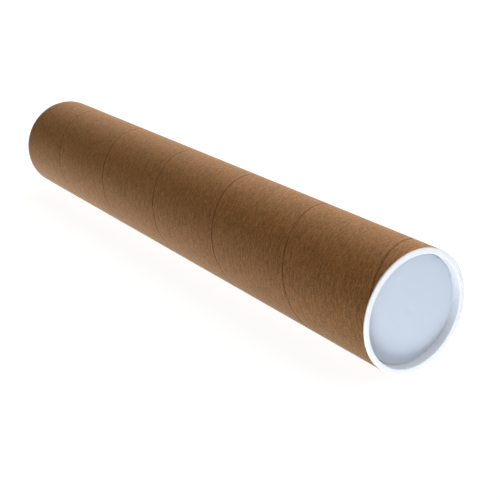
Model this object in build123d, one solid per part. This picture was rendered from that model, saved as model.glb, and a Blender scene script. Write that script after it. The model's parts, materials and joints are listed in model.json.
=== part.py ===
from build123d import *
import math
import os

# Drawing tube: a spiral-wound kraft board tube closed by a plastic plug at each end.
#
# The tube lies along X with its front end at +X, and +Z is up. The origin is on the tube's
# axis, halfway along it. Sizes are in millimetres and angles in degrees.
#
# The wall is five paper strips wound in one spiral direction, one on top of the other. Each
# strip butts against its own previous turn, and the seams of the plies are staggered round
# the tube so that no two lie on top of each other. Each end plug is one moulding: a flange
# that covers the cut end of the wall, a shallow recess closed by a panel, and a ribbed skirt
# that grips the bore. The plugs pull straight out along X.

# Tube
TUBE_LENGTH = 304.8
TUBE_RADIUS = 25.4
GLUE_LINE = 0.02
PLIES = {  # thickness of each ply, from the outside in
    "outer_kraft_ply": 0.24,
    "core_ply_outer": 0.32,
    "core_ply_middle": 0.32,
    "core_ply_inner": 0.32,
    "inner_liner_ply": 0.24,
}

# Spiral seams, the same pitch for every ply
SEAM_PITCH = 52.8
SEAM_GAP = 0.3  # between two turns, measured along the tube
SEAM_EXIT_ANGLE = 63.0  # where the outer seam meets the front end, from the top towards -Y
SEAM_STAGGER = 0.4 * 360.0  # from each ply's seam to the next one in
TIP_TRIM = 0.6  # how far the outer strip's two pointed tips are cut back, round the tube

# End plug
PLUG_CLEARANCE = 0.05  # between the ribs and the bore
FLANGE_RADIUS = TUBE_RADIUS - 0.05
FLANGE_THICKNESS = 0.8  # its outer edge is half round
RECESS_RADIUS = 23.05
RECESS_DRAFT = 0.2  # how much narrower the recess is at the panel
RECESS_ROUNDING = 0.3
RECESS_CORNER = 0.35
PANEL_DEPTH = 2.7  # from the tube's end to the panel's outer face
PANEL_THICKNESS = 1.0
SKIRT_DEPTH = 12.7  # from the tube's end to the skirt's tip
SKIRT_THICKNESS = 0.75
SKIRT_TIP_TAPER = 0.5
SKIRT_TIP_LENGTH = 1.8
RIB_COUNT = 3
RIB_FIRST = 3.0  # from the tube's end to the first rib's crest
RIB_SPACING = 3.2
RIB_HALF_WIDTH = 0.7
GATE_RADIUS = 1.0
GATE_HEIGHT = 0.3

BORE_RADIUS = TUBE_RADIUS - sum(PLIES.values()) - GLUE_LINE * (len(PLIES) - 1)
RIB_RADIUS = BORE_RADIUS - PLUG_CLEARANCE
SKIRT_RADIUS = RECESS_RADIUS - RECESS_DRAFT + SKIRT_THICKNESS

FRONT_END = TUBE_LENGTH / 2
LAY_ALONG_X = Rot(0, 90, 0)  # local Z becomes X, and local X becomes -Z
HALF_TURN = Rot(0, 0, 180)
TOP_ANGLE = 180.0  # the local angle that faces up once the part lies along X
SLOT_TURN = 360.0 * TUBE_LENGTH / SEAM_PITCH  # from the rear end to the front end


def seam_slot(outer_radius, inner_radius):
    """A thin helical slot through one ply's wall, running one turn past each end of the tube.

    It crosses the rear end at local angle 0 and the front end at SLOT_TURN.
    """
    mid_radius = (outer_radius + inner_radius) / 2
    length = TUBE_LENGTH + 2 * SEAM_PITCH
    path = Helix(SEAM_PITCH, length, mid_radius, center=(0, 0, -length / 2))
    width = (outer_radius - inner_radius) * 3
    section = Plane.XZ * Pos(mid_radius, -length / 2) * Rectangle(width, SEAM_GAP)
    return sweep(section, path=path, is_frenet=True)


def ply(outer_radius, thickness, exit_angle):
    """One wound strip: a thin tube slit along a helix, cut square at both ends."""
    inner_radius = outer_radius - thickness
    tube = Cylinder(outer_radius, TUBE_LENGTH) - Cylinder(inner_radius, TUBE_LENGTH)
    if outer_radius == TUBE_RADIUS:
        tube -= tip_trims(outer_radius, thickness)
    strip = tube - seam_slot(outer_radius, inner_radius)
    return LAY_ALONG_X * Rot(0, 0, TOP_ANGLE + exit_angle - SLOT_TURN) * strip


def tip_trims(outer_radius, thickness):
    """Two small cuts that blunt the points of the outer strip, which a real strip keeps.

    Uncut, each point is a sliver of face whose middle lies on the seam's edge, not on the wall.
    """
    cut = Pos(outer_radius, 0, 0) * Box(thickness * 4, TIP_TRIM, SEAM_GAP)
    turn = math.degrees(TIP_TRIM / 2 / outer_radius)
    front = Rot(0, 0, SLOT_TURN - turn) * Pos(0, 0, FRONT_END) * cut
    rear = Rot(0, 0, turn) * Pos(0, 0, -FRONT_END) * cut
    return [front, rear]


def plug_section():
    """Half the plug's section in radius and height, with the tube's end at height 0."""
    recess_floor = RECESS_RADIUS - RECESS_DRAFT
    skirt_inside = SKIRT_RADIUS - SKIRT_THICKNESS
    panel_back = -PANEL_DEPTH - PANEL_THICKNESS
    edge_radius = FLANGE_THICKNESS / 2
    flange_flat = FLANGE_RADIUS - edge_radius
    body = Polygon(
        (0, -PANEL_DEPTH),
        (recess_floor, -PANEL_DEPTH),
        (RECESS_RADIUS, FLANGE_THICKNESS),
        (flange_flat, FLANGE_THICKNESS),
        (flange_flat, 0),
        (SKIRT_RADIUS, 0),
        (SKIRT_RADIUS, -SKIRT_DEPTH + SKIRT_TIP_LENGTH),
        (SKIRT_RADIUS - SKIRT_TIP_TAPER, -SKIRT_DEPTH),
        (skirt_inside, -SKIRT_DEPTH),
        (skirt_inside, panel_back),
        (0, panel_back),
        align=None,
    )
    for radius, height, rounding in (
        (recess_floor, -PANEL_DEPTH, RECESS_CORNER),
        (RECESS_RADIUS, FLANGE_THICKNESS, RECESS_ROUNDING),
        (skirt_inside, panel_back, RECESS_CORNER),
    ):
        corner = body.vertices().sort_by_distance((radius, height, 0))[0]
        body = fillet(corner, rounding)
    return body + Pos(flange_flat, edge_radius) * Circle(edge_radius)


def rib_section(height):
    """One grip rib on the skirt: a low arc that starts inside the skirt's wall."""
    foot = SKIRT_RADIUS - SKIRT_THICKNESS / 2
    low = (SKIRT_RADIUS, height - RIB_HALF_WIDTH)
    high = (SKIRT_RADIUS, height + RIB_HALF_WIDTH)
    outline = ThreePointArc(low, (RIB_RADIUS, height), high)
    outline += Polyline(high, (foot, high[1]), (foot, low[1]), low)
    return make_face(outline)


def plug():
    """The front plug, standing on the front end of the tube."""
    section = plug_section()
    for i in range(RIB_COUNT):
        section += rib_section(-RIB_FIRST - i * RIB_SPACING)
    body = revolve(Plane.XZ * section, Axis.Z)
    gate_foot = -PANEL_DEPTH - PANEL_THICKNESS
    gate = Cylinder(GATE_RADIUS, GATE_HEIGHT * 2)
    body += Pos(0, 0, gate_foot) * gate
    return LAY_ALONG_X * Pos(0, 0, FRONT_END) * body


def build():
    """Every sub-part by node name."""
    parts = {}
    radius = TUBE_RADIUS
    exit_angle = SEAM_EXIT_ANGLE
    for name, thickness in PLIES.items():
        parts[name] = ply(radius, thickness, exit_angle)
        radius -= thickness + GLUE_LINE
        exit_angle += SEAM_STAGGER
    parts["front_plug"] = plug()
    parts["rear_plug"] = HALF_TURN * parts["front_plug"]
    return parts


os.makedirs("parts", exist_ok=True)
for node, shape in build().items():
    export_step(shape, f"parts/{node}.step")
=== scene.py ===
import json
import math

import bpy
import numpy as np
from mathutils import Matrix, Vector


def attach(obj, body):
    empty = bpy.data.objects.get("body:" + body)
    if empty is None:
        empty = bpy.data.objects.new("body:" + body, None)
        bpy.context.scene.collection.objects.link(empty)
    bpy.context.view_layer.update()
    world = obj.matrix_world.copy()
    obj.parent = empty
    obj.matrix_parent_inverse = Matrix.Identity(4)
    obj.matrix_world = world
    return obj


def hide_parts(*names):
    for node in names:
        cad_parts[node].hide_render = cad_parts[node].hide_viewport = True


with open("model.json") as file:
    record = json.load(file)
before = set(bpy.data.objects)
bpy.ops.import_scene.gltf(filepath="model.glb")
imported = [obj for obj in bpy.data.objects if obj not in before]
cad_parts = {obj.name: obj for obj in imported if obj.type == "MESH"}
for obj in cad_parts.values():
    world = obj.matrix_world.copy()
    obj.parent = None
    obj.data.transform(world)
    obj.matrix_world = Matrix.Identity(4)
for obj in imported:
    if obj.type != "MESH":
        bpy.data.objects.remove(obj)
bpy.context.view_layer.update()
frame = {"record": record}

# ---------------------------------------------------------------------------------------------
# Sizes, in metres. The tube lies along X with its front end at +X.
# ---------------------------------------------------------------------------------------------
MM = 0.001
PER_MM = 1 / MM
MOUNTS = {mount["name"]: mount for mount in frame["record"]["mounts"]}
TUBE_RADIUS = MOUNTS["barrel"]["dims"]["r_mm"] * MM
TUBE_LENGTH = MOUNTS["barrel"]["dims"]["length_mm"] * MM
HALF_LENGTH = TUBE_LENGTH / 2
FLANGE_THICKNESS = MOUNTS["front_rim"]["pos_m"][0] - HALF_LENGTH

# The wall: five wound strips, from the outside in. Angles run round +X from the top towards -Y.
GLUE_LINE = 0.02 * MM
SEAM_PITCH = 52.8 * MM
SEAM_GAP = 0.3 * MM
SEAM_EXIT_ANGLE = 63.0  # where the outer seam meets the front end
SEAM_STAGGER = 0.4 * 360.0  # from each ply's seam to the next one in
WINDING_SLOPE = math.atan(SEAM_PITCH / (2 * math.pi * TUBE_RADIUS))
STRIP_WIDTH = (SEAM_PITCH - SEAM_GAP) * math.cos(WINDING_SLOPE)

# The plug, with heights measured outwards from the tube's end
FLANGE_RADIUS = TUBE_RADIUS - 0.05 * MM
RECESS_RADIUS = 23.05 * MM
RECESS_DRAFT = 0.2 * MM
PANEL_DEPTH = 2.7 * MM
PANEL_THICKNESS = 1.0 * MM
SKIRT_DEPTH = 12.7 * MM
SKIRT_THICKNESS = 0.75 * MM
BORE_RADIUS = 23.88 * MM
RIB_RADIUS = BORE_RADIUS - 0.05 * MM
PANEL_RADIUS = RECESS_RADIUS - RECESS_DRAFT
SKIRT_RADIUS = PANEL_RADIUS + SKIRT_THICKNESS

# The camera: a short telephoto close to the front end
CAMERA_LENS = 73.8  # in millimetres, as is the sensor's width
CAMERA_SENSOR = 36.0
CAMERA_CLIP = (0.01, 50.0)
CAMERA_AZIMUTH = 55.54
CAMERA_ELEVATION = 20.54
CAMERA_DISTANCE = 0.4484
CAMERA_AIM = Vector((0.0626, -0.0137, 0.0))


# ---------------------------------------------------------------------------------------------
# Mesh helpers
# ---------------------------------------------------------------------------------------------
SHARP_ANGLE = math.radians(50)  # edges that turn more than this stay crisp


def new_piece(name, points, faces, material, body, node, attributes=None):
    """A smooth-shaded mesh object that stands for one CAD node and rides on its body."""
    mesh = bpy.data.meshes.new(name)
    mesh.from_pydata([tuple(p) for p in points], [], [tuple(f) for f in faces])
    for key, values in (attributes or {}).items():
        layer = mesh.attributes.new(key, "FLOAT_VECTOR", "POINT")
        layer.data.foreach_set("vector", np.asarray(values, np.float32).ravel())
    mesh.update()
    mesh.materials.append(material)
    piece = bpy.data.objects.new(name, mesh)
    bpy.context.scene.collection.objects.link(piece)
    mesh.polygons.foreach_set("use_smooth", [True] * len(mesh.polygons))
    mesh.set_sharp_from_angle(angle=SHARP_ANGLE)
    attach(piece, body)
    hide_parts(node)
    return piece


def around_x(x, radius, angle):
    """Points at distance radius from the X axis, angle in degrees from the top towards -Y."""
    turned = np.radians(angle)
    x, radius, turned = np.broadcast_arrays(x, radius, turned)
    return np.stack([x, -radius * np.sin(turned), radius * np.cos(turned)], axis=-1)


# ---------------------------------------------------------------------------------------------
# The wound strips
# ---------------------------------------------------------------------------------------------
EDGE_ROUNDING = 0.13 * MM
EDGE_FALL = 0.8  # how far a seam edge falls away outside, as a share of its rounding
INNER_EDGE_FALL = 0.3  # the same inside, as a share of the fall outside
MIN_TIP_WIDTH = 0.35 * MM  # a strip's pointed end stops at this width
EDGE_STEPS = (0.0, 0.02, 0.06, 0.13, 0.5, 2.0)  # first cells in from each seam edge, in mm
WAVES = (  # whole waves in one turn, wavelength along the tube, share of the height
    (1, 0.190, 0.35),
    (3, -0.075, 0.25),
    (5, 0.048, 0.2),
    (8, -0.031, 0.2),
)
WAVE_HEIGHT = 0.02 * MM
WAVE_OFFSET = 1.7  # from each wave to the next, in radians


def spread(cells):
    """Where the lines across a strip lie, from 0 to 1: fine at both edges, even between."""
    width = (SEAM_PITCH - SEAM_GAP) / MM
    start = np.array(EDGE_STEPS)
    middle = np.linspace(start[-1], width - start[-1], cells - 2 * len(start) + 3)[1:-1]
    return np.concatenate([start, middle, width - start[::-1]]) / width


def edge_drop(distance):
    """How far a rounded paper edge has fallen away at this distance in from it."""
    inside = np.clip(1 - distance / EDGE_ROUNDING, 0, 1)
    return EDGE_ROUNDING * (1 - np.sqrt(1 - inside**2)) * EDGE_FALL


def waviness(angle, x):
    """A slow, shallow unevenness of the wound wall, 0 at its proudest."""
    turned = np.radians(angle)
    height = np.zeros_like(x)
    for i, (per_turn, wavelength, share) in enumerate(WAVES):
        phase = per_turn * turned + 2 * np.pi * x / wavelength + WAVE_OFFSET * i
        height = height + share * np.sin(phase)
    return (1 - height) / 2


def wound_strip(name, node, outer_radius, thickness, exit_angle, step, cells, material):
    """One strip of paper wound along a helix: outer face, inner face, seam edges and cut ends."""
    first = exit_angle - 360.0 * (TUBE_LENGTH + SEAM_PITCH) / SEAM_PITCH
    angle = np.arange(first, exit_angle, step)
    low = HALF_LENGTH + SEAM_PITCH * (angle - exit_angle) / 360.0 + SEAM_GAP / 2
    high = low + SEAM_PITCH - SEAM_GAP
    low = np.clip(low, -HALF_LENGTH, HALF_LENGTH)
    high = np.clip(high, -HALF_LENGTH, HALF_LENGTH)
    keep = high - low > MIN_TIP_WIDTH
    angle, low, high = angle[keep][:, None], low[keep][:, None], high[keep][:, None]

    across = spread(cells)[None, :]
    x = low + (high - low) * across
    edge = np.minimum(x - low, high - x)
    drop = edge_drop(edge)
    outside = outer_radius - drop - WAVE_HEIGHT * waviness(angle, x) * (edge > 0)
    inside = outer_radius - thickness + drop * INNER_EDGE_FALL
    rows, columns = x.shape
    points = np.concatenate(
        [around_x(x, outside, angle), around_x(x, inside, angle)[:, ::-1]], axis=1
    )
    along = np.radians(angle) * TUBE_RADIUS
    s = along * math.cos(WINDING_SLOPE) + x * math.sin(WINDING_SLOPE)
    first_edge = HALF_LENGTH + SEAM_GAP / 2
    t = (x - first_edge) * math.cos(WINDING_SLOPE)
    t = t - (along - math.radians(exit_angle) * TUBE_RADIUS) * math.sin(WINDING_SLOPE)
    flat = [np.stack([s, t, np.full_like(s, depth)], axis=-1) for depth in (0.0, thickness)]
    strip_place = np.concatenate([flat[0], flat[1][:, ::-1]], axis=1)

    loop = 2 * columns
    i, j = np.meshgrid(np.arange(rows - 1), np.arange(loop), indexing="ij")
    nxt = (j + 1) % loop
    faces = np.stack([i * loop + j, i * loop + nxt, (i + 1) * loop + nxt, (i + 1) * loop + j], -1)
    faces = faces.reshape(-1, 4)
    k = np.arange(columns - 1)
    cap = np.stack([k, loop - 1 - k, loop - 2 - k, k + 1], -1)
    faces = np.concatenate([faces, cap, cap[:, ::-1] + (rows - 1) * loop])
    return new_piece(
        name, points.reshape(-1, 3), faces, material, "tube", node,
        {"strip_place": strip_place.reshape(-1, 3)},
    )


# ---------------------------------------------------------------------------------------------
# The plugs
# ---------------------------------------------------------------------------------------------
def arc(centre, radius, start, end, steps):
    """Points on an arc in (radius, height), with its angles in degrees."""
    turned = np.radians(np.linspace(start, end, steps + 1))
    return [(centre[0] + radius * math.cos(a), centre[1] + radius * math.sin(a)) for a in turned]


def line(start, end, steps):
    """Evenly spaced points from start, leaving out end."""
    return [
        (start[0] + (end[0] - start[0]) * i / steps, start[1] + (end[1] - start[1]) * i / steps)
        for i in range(steps)
    ]


PLUG_SEGMENTS = 288
RECESS_CORNER = 0.35 * MM
RIM_ROUNDING = 0.3 * MM
GROOVE_WIDTH = 0.5 * MM  # a fine groove where the panel meets the recess wall
FLANGE_BACK = 0.06 * MM  # rounding of the flange's rear edge
TIP_TAPER = 0.5 * MM
TIP_LENGTH = 1.8 * MM
RIB_FIRST = 3.0 * MM
RIB_SPACING = 3.2 * MM
RIB_HALF_WIDTH = 0.7 * MM
RIB_COUNT = 3
GATE_RADIUS = 1.0 * MM
GATE_HEIGHT = 0.3 * MM
GATE_TAPER = 0.9  # the gate mark's radius at its top, as a share of the one at its foot
DIMPLE_RADIUS = 1.6 * MM
DIMPLE_DEPTH = 0.12 * MM


def rib(height):
    """The crest of one grip rib, from its outer foot to its inner one."""
    rise = RIB_RADIUS - SKIRT_RADIUS
    across = np.linspace(-1, 1, 9)
    return [(SKIRT_RADIUS + rise * (1 - a * a), height - a * RIB_HALF_WIDTH) for a in across]


def plug_outline():
    """Half the plug's section as (radius, height), from the panel's middle round to its back."""
    floor_radius = RECESS_RADIUS - RECESS_DRAFT
    skirt_inside = SKIRT_RADIUS - SKIRT_THICKNESS
    back = -PANEL_DEPTH - PANEL_THICKNESS
    top = FLANGE_THICKNESS
    outline = [(r, -PANEL_DEPTH - DIMPLE_DEPTH * (1 - (r / DIMPLE_RADIUS) ** 2))
               for r in np.linspace(0, DIMPLE_RADIUS, 6)[:-1]]
    groove = floor_radius - GROOVE_WIDTH
    outline += line((DIMPLE_RADIUS, -PANEL_DEPTH), (groove, -PANEL_DEPTH), 16)
    outline += arc((groove + GROOVE_WIDTH / 2, -PANEL_DEPTH), GROOVE_WIDTH / 2, 180, 360, 8)
    outline += line((floor_radius, -PANEL_DEPTH), (RECESS_RADIUS, top - RIM_ROUNDING), 6)[1:]
    outline += arc((RECESS_RADIUS + RIM_ROUNDING, top - RIM_ROUNDING), RIM_ROUNDING, 180, 90, 7)
    outline += arc((FLANGE_RADIUS - top / 2, top / 2), top / 2, 90, 0, 7)
    outline += arc((FLANGE_RADIUS - FLANGE_BACK, FLANGE_BACK), FLANGE_BACK, 0, -90, 4)
    outline += line((SKIRT_RADIUS, 0), (SKIRT_RADIUS, -RIB_FIRST + RIB_HALF_WIDTH), 3)
    for i in range(RIB_COUNT):
        outline += rib(-RIB_FIRST - i * RIB_SPACING)
    outline += [
        (SKIRT_RADIUS, -SKIRT_DEPTH + TIP_LENGTH),
        (SKIRT_RADIUS - TIP_TAPER, -SKIRT_DEPTH),
        (skirt_inside, -SKIRT_DEPTH),
    ]
    outline += line((skirt_inside, -SKIRT_DEPTH), (skirt_inside, back - RECESS_CORNER), 5)[1:]
    outline += arc((skirt_inside - RECESS_CORNER, back - RECESS_CORNER), RECESS_CORNER, 0, 90, 6)
    outline += line((skirt_inside - RECESS_CORNER, back), (GATE_RADIUS, back), 12)[1:]
    gate_top = back - GATE_HEIGHT
    outline += [(GATE_RADIUS, back), (GATE_RADIUS * GATE_TAPER, gate_top), (0, gate_top)]
    return outline


def end_plug(name, node, body, facing, material):
    """One moulded plug, spun from its half section; facing is 1 at the front and -1 at the rear."""
    outline = np.array(plug_outline())
    ring_count = len(outline) - 2
    angle = np.arange(PLUG_SEGMENTS) * 360.0 / PLUG_SEGMENTS
    rings = outline[1:-1]
    x = facing * (HALF_LENGTH + rings[:, 1])
    points = around_x(x[:, None], rings[:, 0][:, None], facing * angle[None, :]).reshape(-1, 3)
    centres = [(facing * (HALF_LENGTH + height), 0, 0) for height in (outline[0, 1], outline[-1, 1])]
    points = np.concatenate([points, centres])
    front_centre, back_centre = len(points) - 2, len(points) - 1
    faces = []
    for i in range(PLUG_SEGMENTS):
        k = (i + 1) % PLUG_SEGMENTS
        faces.append((front_centre, i, k))
        for ring in range(ring_count - 1):
            here, below = ring * PLUG_SEGMENTS, (ring + 1) * PLUG_SEGMENTS
            faces.append((here + i, below + i, below + k, here + k))
        last = (ring_count - 1) * PLUG_SEGMENTS
        faces.append((last + i, back_centre, last + k))
    return new_piece(name, points, faces, material, body, node)


# ---------------------------------------------------------------------------------------------
# Materials
# ---------------------------------------------------------------------------------------------
class Nodes:
    """A short way to write the node tree of a material or a world."""

    def __init__(self, owner):
        self.owner = owner
        owner.use_nodes = True
        self.tree = owner.node_tree
        self.tree.nodes.clear()

    def add(self, kind, inputs=None, **settings):
        node = self.tree.nodes.new(kind)
        for key, value in settings.items():
            setattr(node, key, value)
        for key, value in (inputs or {}).items():
            if isinstance(value, bpy.types.NodeSocket):
                self.tree.links.new(value, node.inputs[key])
            else:
                node.inputs[key].default_value = value
        return node

    def math(self, operation, a, b=0.0, c=0.0):
        return self.add("ShaderNodeMath", {0: a, 1: b, 2: c}, operation=operation).outputs[0]

    def scaled(self, vector, scale):
        """The vector with each of its parts multiplied."""
        node = self.add("ShaderNodeVectorMath", {0: vector, 1: scale}, operation="MULTIPLY")
        return node.outputs[0]

    def noise(self, vector, scale, detail, roughness):
        """Noise from 0 to 1; scale is one number, or one for each direction."""
        if isinstance(scale, tuple):
            vector, scale = self.scaled(vector, scale), 1.0
        inputs = {"Vector": vector, "Scale": scale, "Detail": detail, "Roughness": roughness}
        return self.add("ShaderNodeTexNoise", inputs).outputs["Fac"]

    def fine_noise(self, place, per_mm, detail, roughness):
        """Noise whose scale is given per millimetre: along, across and through the surface."""
        return self.noise(place, tuple(share * PER_MM for share in per_mm), detail, roughness)

    def remap(self, value, low, high, to_low, to_high, smooth=False):
        inputs = {0: value, 1: low, 2: high, 3: to_low, 4: to_high}
        shape = "SMOOTHSTEP" if smooth else "LINEAR"
        return self.add("ShaderNodeMapRange", inputs, interpolation_type=shape).outputs[0]

    def mix(self, share, a, b, blend="MIX"):
        inputs = {0: share, 6: a, 7: b}
        return self.add("ShaderNodeMix", inputs, data_type="RGBA", blend_type=blend).outputs[2]

    def spread_sum(self, middle, *parts):
        """The middle plus each noise's swing about 0.5, times its weight."""
        total = middle
        for value, weight in parts:
            swing = self.math("MULTIPLY", self.math("SUBTRACT", value, 0.5), weight)
            total = self.math("ADD", total, swing)
        return total

    def grey(self, value):
        """The value as a colour, for multiplying."""
        return self.add("ShaderNodeCombineColor", {0: value, 1: value, 2: value}).outputs[0]

    def bump(self, height, distance, strength=1.0, under=None):
        inputs = {"Height": height, "Distance": distance, "Strength": strength}
        if under is not None:
            inputs["Normal"] = under
        return self.add("ShaderNodeBump", inputs).outputs[0]

    def surface(self, **inputs):
        named = {key.replace("_", " "): value for key, value in inputs.items()}
        shader = self.add("ShaderNodeBsdfPrincipled", named)
        self.add("ShaderNodeOutputMaterial", {"Surface": shader.outputs[0]})
        return self.owner


KRAFT = {
    "light": (0.60, 0.270, 0.085, 1.0),
    "dark": (0.31, 0.133, 0.038, 1.0),
    "fleck": (0.14, 0.06, 0.02, 1.0),
    "roughness": 0.62,
    "sheen": 0.20,
}
BOARD = {
    "light": (0.40, 0.31, 0.22, 1.0),
    "dark": (0.27, 0.20, 0.14, 1.0),
    "fleck": (0.12, 0.09, 0.07, 1.0),
    "roughness": 0.8,
    "sheen": 0.1,
}
PAPER_RELIEF = 0.06 * MM
PLASTIC_RELIEF = 0.03 * MM
# the plug's plastic, and a darker, bluer copy of it for the thin recessed panel: painted shade for
# light lost through the panel into the dark tube and for the recess's shade
THICK_PLASTIC = ((0.47, 0.495, 0.535, 1.0), (0.495, 0.515, 0.55, 1.0))
THIN_PANEL_PAINTED_SHADE = ((0.325, 0.362, 0.43, 1.0), (0.34, 0.375, 0.442, 1.0))
WALL_SHADE_FADE = 0.6  # share of the painted shade faded out at the foot of the wall, from the thin-panel copy to the thick plastic
RIM_SHADE_FADE = 0.4  # the rest of it, from there out to the rim


def paper(name, light, dark, fleck, roughness, sheen):
    """Uncoated paper: long fibres along the strip, fine grain, a few flecks, and edges darkened by
    their glued joint and by painted shade.
    """
    n = Nodes(bpy.data.materials.new(name))
    place = n.add("ShaderNodeAttribute", attribute_name="strip_place").outputs["Vector"]
    streaks = n.fine_noise(place, (0.09, 0.8, 1.0), 3.0, 0.6)
    fibres = n.fine_noise(place, (0.35, 1.3, 1.5), 3.0, 0.65)
    clouds = n.fine_noise(place, (0.12, 0.12, 0.12), 2.0, 0.5)
    grain = n.fine_noise(place, (1.3, 1.3, 1.3), 3.0, 0.65)
    tone = n.spread_sum(0.5, (streaks, 1.3), (fibres, 3.1), (clouds, 0.3), (grain, 2.6))
    colour = n.mix(n.remap(tone, 0.0, 1.0, 0.0, 1.0), dark, light)
    specks = n.fine_noise(place, (0.9, 2.4, 2.0), 1.0, 0.4)
    colour = n.mix(n.remap(specks, 0.72, 0.78, 0.0, 0.5), colour, fleck)
    # dark glued joints and painted shade along the seams
    colour = n.mix(1.0, colour, n.grey(seam_shade(n, place, streaks)), "MULTIPLY")
    height = n.math("ADD", n.math("MULTIPLY", fibres, 0.8), n.math("MULTIPLY", grain, 0.9))
    height = n.math("ADD", height, n.math("MULTIPLY", streaks, 0.8))
    return n.surface(
        Base_Color=colour,
        Roughness=n.remap(fibres, 0.2, 0.8, roughness - 0.06, roughness + 0.06),
        Normal=n.bump(height, PAPER_RELIEF, 0.55),
        IOR=1.45,
        Specular_IOR_Level=0.3,
        Sheen_Weight=sheen,
        Sheen_Roughness=0.3,
        Sheen_Tint=(1.0, 0.97, 0.80, 1.0),
    )


def seam_shade(n, place, uneven):
    """How dark the paper is near the strip's two edges: dark glued joints plus painted shade of the
    rounded edges and the gap, then a rubbed band, and a faint painted shade line along a telegraphed
    ridge 3.4 mm in from the other edge.
    """
    across = n.add("ShaderNodeSeparateXYZ", {0: place}).outputs["Y"]
    other = n.math("SUBTRACT", STRIP_WIDTH, across)
    edge = n.math("MINIMUM", across, other)
    depth = n.remap(uneven, 0.3, 0.7, 0.67, 0.87)
    # dark glued joint plus painted shade of the rounded edges and the gap, within 0.55 mm of each edge
    glued_edge_shade = n.remap(edge, 0.1 * MM, 0.55 * MM, depth, 1.0, smooth=True)
    rubbed = n.remap(edge, 0.6 * MM, 1.0 * MM, 0.0, 0.05, smooth=True)
    rubbed = n.math("MULTIPLY", rubbed, n.remap(edge, 1.6 * MM, 2.6 * MM, 1.0, 0.0, smooth=True))
    # painted shade: a faint dark line 3.4 mm in from the other edge, standing for the shade of a
    # telegraphed ridge
    telegraph_shade = n.math("ABSOLUTE", n.math("SUBTRACT", other, 3.4 * MM))
    telegraph_shade = n.remap(telegraph_shade, 0.1 * MM, 0.6 * MM, 0.06, 0.0, smooth=True)
    shade = n.math("SUBTRACT", n.math("ADD", 1.0, rubbed), telegraph_shade)
    return n.math("MULTIPLY", glued_edge_shade, shade)


def plug_plastic():
    """White polyethylene: satin and a little translucent; the thin recessed panel is painted greyer and
    bluer, a painted shade for light lost through it into the dark tube and for the recess's shade.
    """
    n = Nodes(bpy.data.materials.new("plug_plastic"))
    place = n.add("ShaderNodeTexCoord").outputs["Object"]
    clouds = n.fine_noise(place, (0.07, 0.07, 0.07), 3.0, 0.5)
    grain = n.fine_noise(place, (3.0, 3.0, 3.0), 2.0, 0.5)
    thick = n.mix(clouds, *THICK_PLASTIC)
    thin = n.mix(clouds, *THIN_PANEL_PAINTED_SHADE)
    radius = n.add("ShaderNodeVectorMath", {0: n.scaled(place, (0, 1, 1))}, operation="LENGTH")
    radius = radius.outputs["Value"]
    # painted shade on the recessed panel, faded out up the recess wall to the thick plastic at the rim
    wall = n.remap(radius, PANEL_RADIUS - GROOVE_WIDTH, PANEL_RADIUS, 0.0, WALL_SHADE_FADE)
    rim = n.remap(radius, PANEL_RADIUS, RECESS_RADIUS + RIM_ROUNDING, 0.0, RIM_SHADE_FADE)
    height = n.math("ADD", n.math("MULTIPLY", grain, 0.3), clouds)
    return n.surface(
        Base_Color=n.mix(n.math("ADD", wall, rim), thin, thick),
        Roughness=n.remap(grain, 0.2, 0.8, 0.34, 0.44),
        Normal=n.bump(height, PLASTIC_RELIEF, 0.5),
        IOR=1.5,
        Subsurface_Weight=0.4,
        Subsurface_Radius=(0.95, 1.0, 1.1),
        Subsurface_Scale=1.6 * MM,
    )


# ---------------------------------------------------------------------------------------------
# Building the tube
# ---------------------------------------------------------------------------------------------
PLUG_NAMES = ("front_plug_moulding", "rear_plug_moulding")


def build_tube():
    kraft = paper("kraft_paper", **KRAFT)
    board = paper("core_board", **BOARD)
    fine, coarse = (1.2, 20), (3.0, 15)
    plies = (  # piece, CAD node, thickness, material and slot, (step in degrees, cells across)
        ("outer_kraft_strip", "outer_kraft_ply", 0.24 * MM, kraft, "kraft_paper", fine),
        ("core_strip_outer", "core_ply_outer", 0.32 * MM, board, "core_board", coarse),
        ("core_strip_middle", "core_ply_middle", 0.32 * MM, board, "core_board", coarse),
        ("core_strip_inner", "core_ply_inner", 0.32 * MM, board, "core_board", coarse),
        ("inner_liner_strip", "inner_liner_ply", 0.24 * MM, kraft, "kraft_paper", coarse),
    )
    radius, exit_angle = TUBE_RADIUS, SEAM_EXIT_ANGLE
    for name, node, thickness, material, slot, (step, cells) in plies:
        wound_strip(name, node, radius, thickness, exit_angle, step, cells, material)
        radius -= thickness + GLUE_LINE
        exit_angle += SEAM_STAGGER
    plastic = plug_plastic()
    end_plug(PLUG_NAMES[0], "front_plug", "front_plug", 1, plastic)
    end_plug(PLUG_NAMES[1], "rear_plug", "rear_plug", -1, plastic)


# ---------------------------------------------------------------------------------------------
# Floor, light and camera. The table and the sky give the tube its light but look white to the
# camera, and the lamps reach only the plugs, so the light is a studio one and not a room's.
# ---------------------------------------------------------------------------------------------
FLOOR_HALF_WIDTH = 8.0
FLOOR_GREYS = ((0.20, 0.20, 0.20, 1.0), (0.22, 0.22, 0.22, 1.0))
WHITE = (1.0, 1.0, 1.0, 1.0)
GLOW_UNDER = (1.05, 0.75)  # the table's glow just under the tube, at the rear and the front end
GLOW_UNDER_TINT = (0.93, 1.03, 1.12, 1.0)
GLOW_ASIDE = (0.50, 0.71)  # further out
GLOW_ASIDE_TINT = (1.0, 0.96, 0.92, 1.0)
GLOW_UNDER_WIDTH = 0.035
GLOW_ASIDE_WIDTH = 0.15
GLOW_SEEN = 0.94  # as the camera sees it
SKY_TINT = (1.0, 0.98, 0.90, 1.0)
SKY_FRONT = 0.035
SKY_BEHIND = 1.65
SKY_LOW = 0.55  # share of it near the horizon
SKY_FRONT_TO_BEHIND = (-0.1, 0.35)  # where it changes, in the direction's Y
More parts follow.
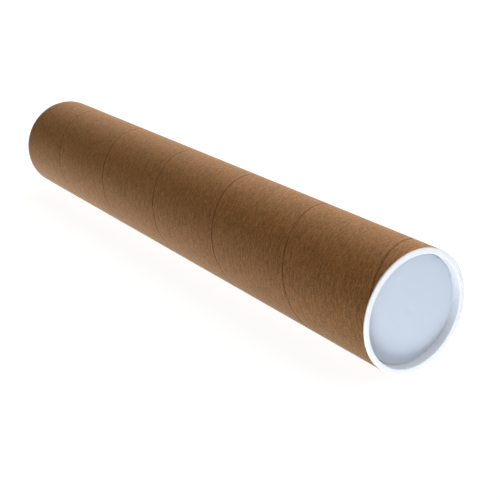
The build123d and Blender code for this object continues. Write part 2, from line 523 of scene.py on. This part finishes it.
SKY_LOW_TO_HIGH = (0.0, 0.45)  # the same, in the direction's Z
LAMP_DISTANCE = 0.5
LAMPS = (  # name, power, diameter, slant from the axis, turn round it from the top towards -Y
    ("low", 4.0, 0.26, math.radians(63), math.radians(150)),
    ("side", 3.6, 0.90, math.radians(57), math.radians(32)),
)


def build_floor():
    """A pale glowing table: it lights the tube from below and keeps only a faint shadow."""
    n = Nodes(bpy.data.materials.new("floor_paper"))
    place = n.add("ShaderNodeTexCoord").outputs["Object"]
    tone = n.noise(place, 3.0, 2.0, 0.5)
    seen = n.add("ShaderNodeLightPath").outputs["Is Camera Ray"]
    split = n.add("ShaderNodeSeparateXYZ", {0: place}).outputs
    aside = n.math("ABSOLUTE", split["Y"])
    aside = n.remap(aside, GLOW_UNDER_WIDTH, GLOW_ASIDE_WIDTH, 0.0, 1.0, smooth=True)
    under = n.remap(split["X"], -HALF_LENGTH, HALF_LENGTH, *GLOW_UNDER)
    out = n.remap(split["X"], -HALF_LENGTH, HALF_LENGTH, *GLOW_ASIDE)
    lit = n.remap(aside, 0.0, 1.0, under, out)
    glow = n.add("ShaderNodeEmission", {
        "Color": n.mix(seen, n.mix(aside, GLOW_UNDER_TINT, GLOW_ASIDE_TINT), WHITE),
        "Strength": n.remap(seen, 0.0, 1.0, lit, GLOW_SEEN),
    })
    matt = n.add("ShaderNodeBsdfDiffuse", {"Color": n.mix(tone, *FLOOR_GREYS)})
    both = n.add("ShaderNodeAddShader", {0: glow.outputs[0], 1: matt.outputs[0]})
    n.add("ShaderNodeOutputMaterial", {"Surface": both.outputs[0]})
    half = FLOOR_HALF_WIDTH
    corners = [(-half, -half, 0), (half, -half, 0), (half, half, 0), (-half, half, 0)]
    mesh = bpy.data.meshes.new("floor")
    mesh.from_pydata(corners, [], [(0, 1, 2, 3)])
    mesh.materials.append(n.owner)
    floor = bpy.data.objects.new("floor", mesh)
    floor.location.z = -TUBE_RADIUS
    bpy.context.scene.collection.objects.link(floor)


def build_world():
    """White to the camera; to everything else, bright above and behind, dim on the viewer's side."""
    world = bpy.data.worlds.new("studio")
    bpy.context.scene.world = world
    n = Nodes(world)
    direction = n.add("ShaderNodeTexCoord").outputs["Generated"]
    parts = n.add("ShaderNodeSeparateXYZ", {0: direction}).outputs
    level = n.remap(parts["Y"], *SKY_FRONT_TO_BEHIND, SKY_FRONT, SKY_BEHIND, smooth=True)
    high = n.remap(parts["Z"], *SKY_LOW_TO_HIGH, SKY_LOW, 1.0, smooth=True)
    strength = n.math("MULTIPLY", level, high)
    light = n.add("ShaderNodeBackground", {"Color": SKY_TINT, "Strength": strength}).outputs[0]
    white = n.add("ShaderNodeBackground", {"Color": WHITE, "Strength": 1.0}).outputs[0]
    seen = n.add("ShaderNodeLightPath").outputs["Is Camera Ray"]
    mixed = n.add("ShaderNodeMixShader", {0: seen, 1: light, 2: white}).outputs[0]
    n.add("ShaderNodeOutputWorld", {"Surface": mixed})


def build_lamps(plugs, pieces):
    """Soft lamps in front of each plug, for the plugs only; the low one shines up through the table."""
    blockers = bpy.data.collections.new("lamp_blockers")
    for piece in pieces:
        blockers.objects.link(piece)
    for plug, facing in zip(plugs, (1, -1)):
        receivers = bpy.data.collections.new(f"{plug.name}_lit")
        receivers.objects.link(plug)
        for name, power, diameter, slant, turn in LAMPS:
            towards = Vector((
                facing * math.cos(slant),
                -facing * math.sin(slant) * math.sin(turn),
                math.sin(slant) * math.cos(turn),
            ))
            data = bpy.data.lights.new(f"{plug.name}_{name}_lamp", "AREA")
            data.shape = "DISK"
            data.size = diameter
            data.energy = power
            lamp = bpy.data.objects.new(data.name, data)
            lamp.location = Vector((facing * HALF_LENGTH, 0, 0)) + towards * LAMP_DISTANCE
            lamp.rotation_mode = "QUATERNION"
            lamp.rotation_quaternion = (-towards).to_track_quat("-Z", "Y")
            lamp.visible_camera = False
            bpy.context.scene.collection.objects.link(lamp)
            lamp.light_linking.receiver_collection = receivers
            lamp.light_linking.blocker_collection = blockers


def build_camera():
    azimuth, elevation = math.radians(CAMERA_AZIMUTH), math.radians(CAMERA_ELEVATION)
    back = Vector((
        math.sin(azimuth) * math.cos(elevation),
        -math.cos(azimuth) * math.cos(elevation),
        math.sin(elevation),
    ))
    data = bpy.data.cameras.new("camera")
    data.lens = CAMERA_LENS
    data.sensor_width = CAMERA_SENSOR
    data.clip_start, data.clip_end = CAMERA_CLIP
    camera = bpy.data.objects.new("camera", data)
    camera.location = CAMERA_AIM + back * CAMERA_DISTANCE
    camera.rotation_mode = "QUATERNION"
    camera.rotation_quaternion = (-back).to_track_quat("-Z", "Y")
    bpy.context.scene.collection.objects.link(camera)
    bpy.context.scene.camera = camera


build_tube()
tube_pieces = [thing for thing in bpy.context.scene.collection.objects if thing.type == "MESH"]
build_lamps([bpy.data.objects[name] for name in PLUG_NAMES], tube_pieces)
build_floor()
build_world()
build_camera()
bpy.context.scene.view_settings.view_transform = "Standard"

bpy.context.view_layer.update()
